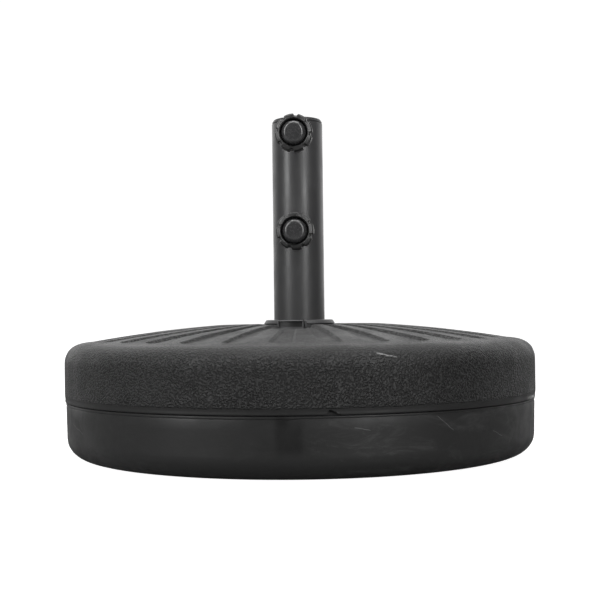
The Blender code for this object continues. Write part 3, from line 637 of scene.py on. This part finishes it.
class Finish:
    """One procedural material, built node by node in the object's own metres."""

    def __init__(self, name, colour=grey(0.03), roughness=0.5, metallic=0.0, level=0.5):
        self.material = bpy.data.materials.new(name)
        self.material.use_nodes = True
        self.tree = self.material.node_tree
        self.shader = self.tree.nodes["Principled BSDF"]
        self.set("Base Color", (*colour, 1.0))
        self.set("Roughness", roughness)
        self.set("Metallic", metallic)
        self.set("Specular IOR Level", level)
        self.place = self.add("ShaderNodeTexCoord").outputs["Object"]
        self.x, self.y, self.z = self.add("ShaderNodeSeparateXYZ", {"Vector": self.place}).outputs

    def feed(self, socket, value):
        if isinstance(value, bpy.types.NodeSocket):
            self.tree.links.new(value, socket)
        else:
            socket.default_value = value

    def set(self, socket, value):
        self.feed(self.shader.inputs[socket], value)

    def add(self, kind, inputs=None, **settings):
        node = self.tree.nodes.new(kind)
        for key, value in settings.items():
            setattr(node, key, value)
        for key, value in (inputs or {}).items():
            self.feed(node.inputs[key], value)
        return node

    def calc(self, operation, first, second=0.0):
        return self.add("ShaderNodeMath", {0: first, 1: second}, operation=operation).outputs[0]

    def times(self, first, *others):
        for other in others:
            first = self.calc("MULTIPLY", first, other)
        return first

    def strongest(self, first, *others):
        for other in others:
            first = self.calc("MAXIMUM", first, other)
        return first

    def wobble(self, scale, height):
        """Noise centred on zero, height from its lowest to its highest."""
        return self.times(self.calc("SUBTRACT", self.noise(scale), 0.5), height)

    def stretch(self, scale):
        return self.add("ShaderNodeMapping", {"Vector": self.place, "Scale": scale}).outputs[0]

    def noise(self, scale, detail=2.0, roughness=0.5, distortion=0.0, place=None):
        inputs = {"Scale": scale, "Detail": detail, "Roughness": roughness, "Distortion": distortion}
        inputs["Vector"] = place or self.place
        return self.add("ShaderNodeTexNoise", inputs).outputs["Fac"]

    def cells(self, scale):
        inputs = {"Scale": scale, "Vector": self.place}
        return self.add("ShaderNodeTexVoronoi", inputs).outputs["Distance"]

    def remap(self, value, low, high, to_low=0.0, to_high=1.0):
        inputs = {"Value": value, "From Min": low, "From Max": high, "To Min": to_low, "To Max": to_high}
        return self.add("ShaderNodeMapRange", inputs, interpolation_type="SMOOTHSTEP").outputs["Result"]

    def blend(self, share, first, second):
        """The first colour where share is 0, the second where it is 1."""
        first, second = ((*c, 1.0) if isinstance(c, tuple) else c for c in (first, second))
        return self.add("ShaderNodeMix", {0: share, 6: first, 7: second}, data_type="RGBA").outputs[2]

    def bump(self, height, strength, distance, below=None):
        inputs = {"Height": height, "Strength": strength, "Distance": distance}
        if below:
            inputs["Normal"] = below
        return self.add("ShaderNodeBump", inputs).outputs["Normal"]

    def azimuth(self):
        """Degrees from the front, positive towards +X."""
        angle = self.calc("ARCTAN2", self.x, self.times(self.y, -1.0))
        return self.times(angle, 180.0 / math.pi)

    def window(self, value, start, end, soft):
        """1 between start and end, fading over soft."""
        rise = self.remap(value, start - soft, start + soft)
        fall = self.remap(value, end - soft, end + soft, 1.0, 0.0)
        return self.times(rise, fall)

    def scratch(self, azimuth, at_deg, at_z, half_deg, fall_per_deg, half_width):
        """A thin, slightly crooked line round the wall."""
        off = self.calc("SUBTRACT", azimuth, at_deg)
        level = self.calc("ADD", self.calc("SUBTRACT", self.z, at_z), self.times(off, fall_per_deg))
        level = self.calc("ABSOLUTE", self.calc("ADD", level, self.wobble(160.0, 0.0022)))
        line = self.remap(level, half_width * 0.35, half_width, 1.0, 0.0)
        along = self.remap(self.calc("ABSOLUTE", off), half_deg * 0.8, half_deg, 1.0, 0.0)
        return self.times(line, along)


def leather_grain(finish, fine, above_band):
    """Sets the bumps: pebbles on the wall, a finer grain over the top. Returns the pebbles' valleys, where
    dirt and painted shade go.
    """
    pebbles = finish.remap(finish.noise(640.0, 0.0, 0.5, 0.20), 0.38, 0.64)
    on_wall = finish.remap(finish.z, *WALL_GRAIN_FADES_Z, 1.0, 0.30)
    patchy = finish.remap(finish.noise(24.0), 0.32, 0.62, 0.75, 1.0)
    share = finish.times(on_wall, above_band, patchy)
    normal = finish.bump(finish.times(pebbles, share), 1.0, PEBBLE_HEIGHT)
    on_top = finish.remap(finish.z, *FINE_GRAIN_STARTS_Z, 0.25, 1.0)
    normal = finish.bump(finish.times(fine, on_top, above_band), 1.0, FINE_GRAIN_HEIGHT, normal)
    finish.set("Normal", normal)
    return finish.times(finish.calc("SUBTRACT", 1.0, pebbles), share)


def band_smudges(finish, azimuth):
    """Dark smudges on the smooth band, to the left of the chip."""
    on_band = finish.window(finish.z, SEAM_Z - 0.001, BAND_TOP_Z + 0.0003, 0.0003)
    left_of_chip = finish.window(azimuth, -17.0, 5.0, 2.5)
    blotches = finish.noise(85.0, 3.0, 0.65, 0.8, finish.stretch((1.0, 1.0, 1.6)))
    return finish.times(finish.remap(blotches, 0.50, 0.58), on_band, left_of_chip)


def pale_marks(finish, azimuth, fine):
    """Stress marks along the seam at both sides, one scratch and a few flecks on the shoulder."""
    marks = finish.noise(330.0, 3.0, 0.7, 0.5, finish.stretch((1.0, 1.0, 1.8)))
    height = finish.calc("ADD", finish.z, finish.times(finish.calc("SUBTRACT", fine, 0.5), 0.0016))
    right = finish.window(azimuth, 66.0, 96.0, 3.0)
    right = finish.times(right, finish.window(height, 0.0522, 0.0556, 0.0005))
    left = finish.window(azimuth, -112.0, -77.0, 3.0)
    left = finish.times(left, finish.window(height, 0.0530, 0.0575, 0.0006), 0.7)
    seam = finish.times(finish.remap(marks, 0.42, 0.52), finish.calc("ADD", right, left))
    line = finish.times(finish.scratch(azimuth, *UPPER_SCRATCH), 0.5)
    flecks = finish.remap(finish.noise(260.0, 2.0, 0.6), 0.73, 0.78)
    flecks = finish.times(flecks, finish.window(finish.z, 0.0930, 0.1030, 0.002), 0.35)
    return finish.strongest(seam, line, flecks)


def textured_black():
    """Leather-grained black polyethylene, dusty on top, smooth and darker on the band above the seam."""
    finish = Finish("Leather-grain black polyethylene", roughness=0.50, level=0.40)
    azimuth = finish.azimuth()
    fine = finish.noise(430.0, 3.0, 0.75)
    above_band = finish.remap(finish.calc("ADD", finish.z, finish.wobble(120.0, 0.0022)), *BAND_EDGE_Z)
    valley_dirt_and_shade = leather_grain(finish, fine, above_band)

    colour = finish.blend(finish.noise(9.0, 3.0, 0.6), grey(0.019), grey(0.026))
    # dirt and painted shade: the pebbles' valleys are painted nearly black
    colour = finish.blend(valley_dirt_and_shade, colour, grey(0.001))
    dust = finish.remap(finish.noise(430.0, 3.0, 0.8), 0.44, 0.62)
    dust = finish.times(dust, finish.remap(finish.z, *DUST_STARTS_Z), 0.9)
    colour = finish.blend(dust, colour, grey(0.072))
    colour = finish.blend(finish.calc("SUBTRACT", 1.0, above_band), colour, grey(0.008))
    colour = finish.blend(band_smudges(finish, azimuth), colour, grey(0.006))
    colour = finish.blend(pale_marks(finish, azimuth, fine), colour, grey(0.42))
    finish.set("Base Color", colour)
    finish.set("Roughness", finish.remap(finish.noise(35.0, 3.0), 0.3, 0.7, 0.46, 0.60))
    return finish.material


def satin_black():
    """Smooth black polyethylene with smears, one dark patch near the front, a few scratches and painted
    shade on the lip above the seam.
    """
    finish = Finish("Satin black polyethylene", roughness=0.5, level=0.36)
    azimuth = finish.azimuth()
    colour = finish.blend(finish.noise(7.0, 4.0, 0.6, 0.6), grey(0.008), grey(0.016))
    smear = finish.noise(21.0, 6.0, 0.72, 1.2, finish.stretch((1.0, 1.0, 2.8)))
    smear = finish.times(finish.remap(smear, 0.48, 0.70), finish.remap(azimuth, -2.0, 8.0, 0.10, 0.60))
    colour = finish.blend(smear, colour, grey(0.042))
    cloudy = finish.remap(finish.noise(40.0, 3.0, 0.6, 0.5), 0.40, 0.60)
    patch = finish.times(finish.window(azimuth, -5.0, 0.4, 0.9), finish.remap(cloudy, 0, 1, 0.7, 1.0))
    patch = finish.times(patch, finish.window(finish.z, 0.0220, 0.0515, 0.006))
    colour = finish.blend(patch, colour, grey(0.001))
    # painted shade: the lip above the seam, deep in the joint, is painted nearly black
    colour = finish.blend(finish.remap(finish.z, SEAM_Z - 0.0005, SEAM_Z), colour, grey(0.003))
    scratches = finish.strongest(*(finish.scratch(azimuth, *line) for line in LOWER_SCRATCHES))
    finish.set("Base Color", finish.blend(finish.times(scratches, 0.45), colour, grey(0.20)))
    finish.set("Roughness", finish.remap(finish.noise(30.0, 4.0, 0.65, 0.8), 0.3, 0.7, 0.42, 0.58))
    uneven = finish.calc("ADD", finish.times(finish.noise(420.0), 0.4), finish.noise(38.0, 3.0))
    finish.set("Normal", finish.bump(uneven, 0.35, 0.0004))
    return finish.material


def powder_coat(name, colour, roughness=0.44):
    """Charcoal powder coat: fine orange peel, a faint speckle and rubbed patches."""
    finish = Finish(name, roughness=roughness, level=0.5)
    speckle = finish.blend(finish.noise(1500.0, 2.0, 0.7), scaled(colour, 0.82), colour)
    wear_and_highlight = finish.remap(finish.noise(60.0, 4.0, 0.6, 1.0, finish.stretch((1.0, 1.0, 0.35))), 0.55, 0.8)
    finish.set("Base Color", finish.blend(finish.times(wear_and_highlight, 0.35), speckle, scaled(colour, 1.5)))
    uneven = finish.remap(finish.noise(45.0, 3.0), 0.3, 0.7, roughness - 0.05, roughness + 0.06)
    finish.set("Roughness", uneven)
    peel = finish.calc("ADD", finish.noise(650.0), finish.times(finish.noise(2200.0, 1.0), 0.4))
    finish.set("Normal", finish.bump(peel, 0.30, 0.00025))
    return finish.material


def moulded_plastic(name, colour, roughness, grain=0.25, level=0.5, scale=1.0):
    """Injection-moulded plastic: a fine spark-eroded grain, faint flow marks and rubbed patches."""
    finish = Finish(name, roughness=roughness, level=level)
    flow = finish.noise(90.0 * scale, 3.0, 0.6, 1.2)
    tone = finish.blend(flow, scaled(colour, 0.85), scaled(colour, 1.15))
    scuff = finish.remap(finish.noise(260.0 * scale, 4.0, 0.75, 0.6), 0.62, 0.74)
    finish.set("Base Color", finish.blend(finish.times(scuff, 0.25), tone, scaled(colour, 3.0)))
    uneven = finish.remap(finish.noise(160.0 * scale, 3.0), 0.3, 0.7, roughness - 0.04, roughness + 0.06)
    finish.set("Roughness", uneven)
    finish.set("Normal", finish.bump(finish.noise(1400.0 * scale, 2.0, 0.6), grain, 0.00018))
    return finish.material


def tab_plastic():
    """The collar's plastic: a painted highlight along the tab's raised border and foot, painted shade in its
    hollow face.
    """
    finish = Finish("Tab plastic", roughness=0.44, level=0.5)
    x_squared, y_squared = (finish.calc("POWER", across, 2.0) for across in (finish.x, finish.y))
    radius = finish.calc("SQRT", finish.calc("ADD", x_squared, y_squared))
    # painted highlight: the raised border and the foot are painted pale, as lit edges
    border = finish.remap(radius, TAB_R_OUT - 0.0019, TAB_R_OUT - 0.0007)
    foot = finish.remap(finish.z, TAB_Z0 + 0.0012, TAB_Z0 + 0.0026, 0.35, 0.0)
    wear_and_highlight = finish.strongest(border, foot)
    # painted shade: the rest of the tab, its hollow face above all, is painted nearly black
    finish.set("Base Color", finish.blend(wear_and_highlight, grey(0.006), (0.085, 0.085, 0.086)))
    finish.set("Normal", finish.bump(finish.noise(1200.0), 0.25, 0.00018))
    return finish.material


def gloss_cap():
    """Polished black cap with faint fingermarks."""
    finish = Finish("Polished black cap", roughness=0.2, level=0.7)
    smear = finish.noise(330.0, 4.0, 0.65, 1.4)
    finish.set("Base Color", finish.blend(smear, (0.022, 0.022, 0.023), (0.045, 0.045, 0.046)))
    finish.set("Roughness", finish.remap(smear, 0.35, 0.65, 0.15, 0.30))
    finish.set("Normal", finish.bump(finish.noise(260.0, 3.0), 0.12, 0.0004))
    return finish.material


def bare_metal(name, colour, roughness):
    """Metal with faint stains, duller where it is stained."""
    finish = Finish(name, metallic=1.0, roughness=roughness)
    stain = finish.noise(180.0, 4.0, 0.65, 0.6)
    finish.set("Base Color", finish.blend(stain, scaled(colour, 0.7), colour))
    finish.set("Roughness", finish.remap(stain, 0.35, 0.65, roughness - 0.06, roughness + 0.10))
    finish.set("Normal", finish.bump(finish.noise(1500.0), 0.2, 0.0001))
    return finish.material


def concrete():
    finish = Finish("Cast concrete", roughness=0.9, level=0.3)
    sand = finish.noise(500.0, 4.0, 0.7)
    stones = finish.cells(120.0)
    tone = finish.blend(finish.noise(14.0, 4.0), (0.30, 0.29, 0.27), (0.44, 0.43, 0.40))
    finish.set("Base Color", finish.blend(finish.remap(sand, 0.4, 0.7, 0.0, 0.5), tone, (0.20, 0.19, 0.18)))
    finish.set("Roughness", finish.remap(sand, 0.3, 0.7, 0.82, 0.96))
    finish.set("Normal", finish.bump(finish.calc("ADD", sand, stones), 0.6, 0.0012))
    return finish.material


def dress(obj, material):
    obj.data.materials.clear()
    obj.data.materials.append(material)


def dress_node(name, material):
    """Gives a CAD node that stays visible a better finish."""
    for entry in NODES[name].material_slots:
        entry.link = "OBJECT"
        entry.material = material


# ---------------------------------------------------------------- studio

LENS_MM, CAMERA_DISTANCE, CAMERA_Z = 67.6, 1.10, 0.1306
CAMERA_PITCH, CAMERA_YAW, CAMERA_ROLL = 0.77, -0.040, -0.71
WORLD_FRONT, WORLD_BACK, WORLD_FROM_Y, WORLD_TO_Y, WORLD_SEEN = 0.05, 1.30, 0.05, 0.75, 1.05
FLOOR_MATT, FLOOR_GLOW, FLOOR_BOUNCE = 0.50, 0.97, 0.32
FLOOR_Z, FLOOR_RINGS = -0.0006, (0.0, 0.6, 2.0, 9.0)

# Lights: azimuth, distance, height, width, length and power
SOFTBOXES = {
    "key_left": (-49.0, 1.5, 0.90, 0.46, 1.60, 19.0),
    "key_right": (31.0, 1.5, 0.80, 0.44, 1.50, 15.5),
    "overhead": (0.0, 0.2, 1.60, 1.20, 0.70, 13.0),
}
LIT_POINT = (0.0, 0.0, 0.14)


def softbox(name, azimuth, distance, height, width, tall, power):
    light = bpy.data.lights.new(name, "AREA")
    light.shape = "RECTANGLE"
    light.size, light.size_y = width, tall
    light.energy = power
    obj = bpy.data.objects.new(name, light)
    bpy.context.scene.collection.objects.link(obj)
    place = (*polar(distance, azimuth), height)
    obj.location = place
    obj.rotation_euler = (Vector(LIT_POINT) - Vector(place)).to_track_quat("-Z", "Y").to_euler()
    obj.visible_camera = False


def build_world():
    """White for the camera; for the light on the object, a studio that is bright behind and dim in front."""
    world = bpy.data.worlds.new("Studio")
    bpy.context.scene.world = world
    world.use_nodes = True
    tree = world.node_tree
    tree.nodes.clear()
    add, link = tree.nodes.new, tree.links.new
    toward = add("ShaderNodeSeparateXYZ")
    link(add("ShaderNodeTexCoord").outputs["Generated"], toward.inputs[0])
    behind = add("ShaderNodeMapRange")
    behind.interpolation_type = "SMOOTHSTEP"
    limits = {"From Min": WORLD_FROM_Y, "From Max": WORLD_TO_Y, "To Min": WORLD_FRONT, "To Max": WORLD_BACK}
    for key, value in limits.items():
        behind.inputs[key].default_value = value
    link(toward.outputs["Y"], behind.inputs["Value"])
    unseen, seen = add("ShaderNodeBackground"), add("ShaderNodeBackground")
    unseen.inputs["Color"].default_value = (1, 1, 1, 1)
    seen.inputs["Color"].default_value = (1, 1, 1, 1)
    seen.inputs["Strength"].default_value = WORLD_SEEN
    link(behind.outputs[0], unseen.inputs["Strength"])
    either, output = add("ShaderNodeMixShader"), add("ShaderNodeOutputWorld")
    link(add("ShaderNodeLightPath").outputs["Is Camera Ray"], either.inputs[0])
    link(unseen.outputs[0], either.inputs[1])
    link(seen.outputs[0], either.inputs[2])
    link(either.outputs[0], output.inputs[0])


def floor_material():
    """Pale and glowing for the camera, a dimmer matt grey for the light that it sends back up."""
    material = bpy.data.materials.new("Studio floor")
    material.use_nodes = True
    tree = material.node_tree
    tree.nodes.clear()
    add, link = tree.nodes.new, tree.links.new
    matt, glow, dim = add("ShaderNodeBsdfDiffuse"), add("ShaderNodeEmission"), add("ShaderNodeBsdfDiffuse")
    matt.inputs["Color"].default_value = (*grey(FLOOR_MATT), 1)
    glow.inputs["Strength"].default_value = FLOOR_GLOW
    dim.inputs["Color"].default_value = (*grey(FLOOR_BOUNCE), 1)
    both, either = add("ShaderNodeAddShader"), add("ShaderNodeMixShader")
    link(matt.outputs[0], both.inputs[0])
    link(glow.outputs[0], both.inputs[1])
    link(add("ShaderNodeLightPath").outputs["Is Camera Ray"], either.inputs[0])
    link(dim.outputs[0], either.inputs[1])
    link(both.outputs[0], either.inputs[2])
    link(either.outputs[0], add("ShaderNodeOutputMaterial").inputs[0])
    return material


def build_floor():
    """A plain pale studio floor, just under the object."""
    floor = turned("studio_floor", [(radius, FLOOR_Z) for radius in FLOOR_RINGS], 96, closed=False)
    if floor.data.polygons[0].normal.z < 0:
        floor.data.flip_normals()
    dress(floor, floor_material())


def build_camera():
    camera = bpy.data.cameras.new("Front camera")
    camera.sensor_width, camera.lens = 36.0, LENS_MM
    camera.clip_start, camera.clip_end = 0.05, 60.0
    obj = bpy.data.objects.new("Front camera", camera)
    bpy.context.scene.collection.objects.link(obj)
    turn = Matrix.Rotation(math.radians(CAMERA_YAW), 4, "Z")
    turn = turn @ Matrix.Rotation(math.radians(90.0 + CAMERA_PITCH), 4, "X")
    turn = turn @ Matrix.Rotation(math.radians(CAMERA_ROLL), 4, "Z")
    obj.matrix_world = Matrix.Translation((0.0, -CAMERA_DISTANCE, CAMERA_Z)) @ turn
    bpy.context.scene.camera = obj


# ---------------------------------------------------------------- everything built and dressed


bpy.context.scene.view_settings.view_transform = "Standard"

dress(build_upper_shell(), textured_black())
dress(build_lower_shell(), satin_black())
dress(build_socket(), moulded_plastic("Grained hub plastic", (0.030, 0.030, 0.031), 0.55, 0.35))
dress(build_collar(), moulded_plastic("Collar plastic", (0.048, 0.048, 0.049), 0.46, 0.5))
dress(build_tab(), tab_plastic())
dress(build_tube(), powder_coat("Charcoal powder coat", (0.046, 0.046, 0.047), 0.36))
dress(build_sleeve(), moulded_plastic("Insert plastic", (0.024, 0.024, 0.025), 0.42))
for nut in [build_nut(which) for which in KNOB_Z]:
    dress(nut, powder_coat("Coated boss " + nut.name, (0.055, 0.055, 0.057)))
for screw in [build_screw(which) for which in KNOB_Z]:
    dress(screw, bare_metal("Zinc-plated thread " + screw.name, (0.62, 0.62, 0.60), 0.32))
for knob in [build_knob(which) for which in KNOB_Z]:
    dress(knob, moulded_plastic("Grip plastic " + knob.name, grey(0.013), 0.34, 0.3, 0.6, 1.4))
for cap in [build_cap(which) for which in KNOB_Z]:
    dress(cap, gloss_cap())

hidden_plastic = moulded_plastic("Hidden black plastic", (0.022, 0.022, 0.024), 0.5)
for name in ("tube_foot", "filler_plug_left", "filler_plug_right"):
    dress_node(name, hidden_plastic)
dress_node("concrete_ballast", concrete())
for name in ("foot_rivet_left", "foot_rivet_right"):
    dress_node(name, bare_metal("Aluminium rivet " + name, (0.72, 0.72, 0.74), 0.35))
dress_node("tab_spring", bare_metal("Spring steel", (0.50, 0.50, 0.52), 0.30))
nylon = moulded_plastic("Natural nylon", (0.55, 0.53, 0.47), 0.42)
for which in KNOB_Z:
    dress_node("pressure_pad_" + which, nylon)

build_world()
build_floor()
for name, settings in SOFTBOXES.items():
    softbox(name, *settings)
build_camera()
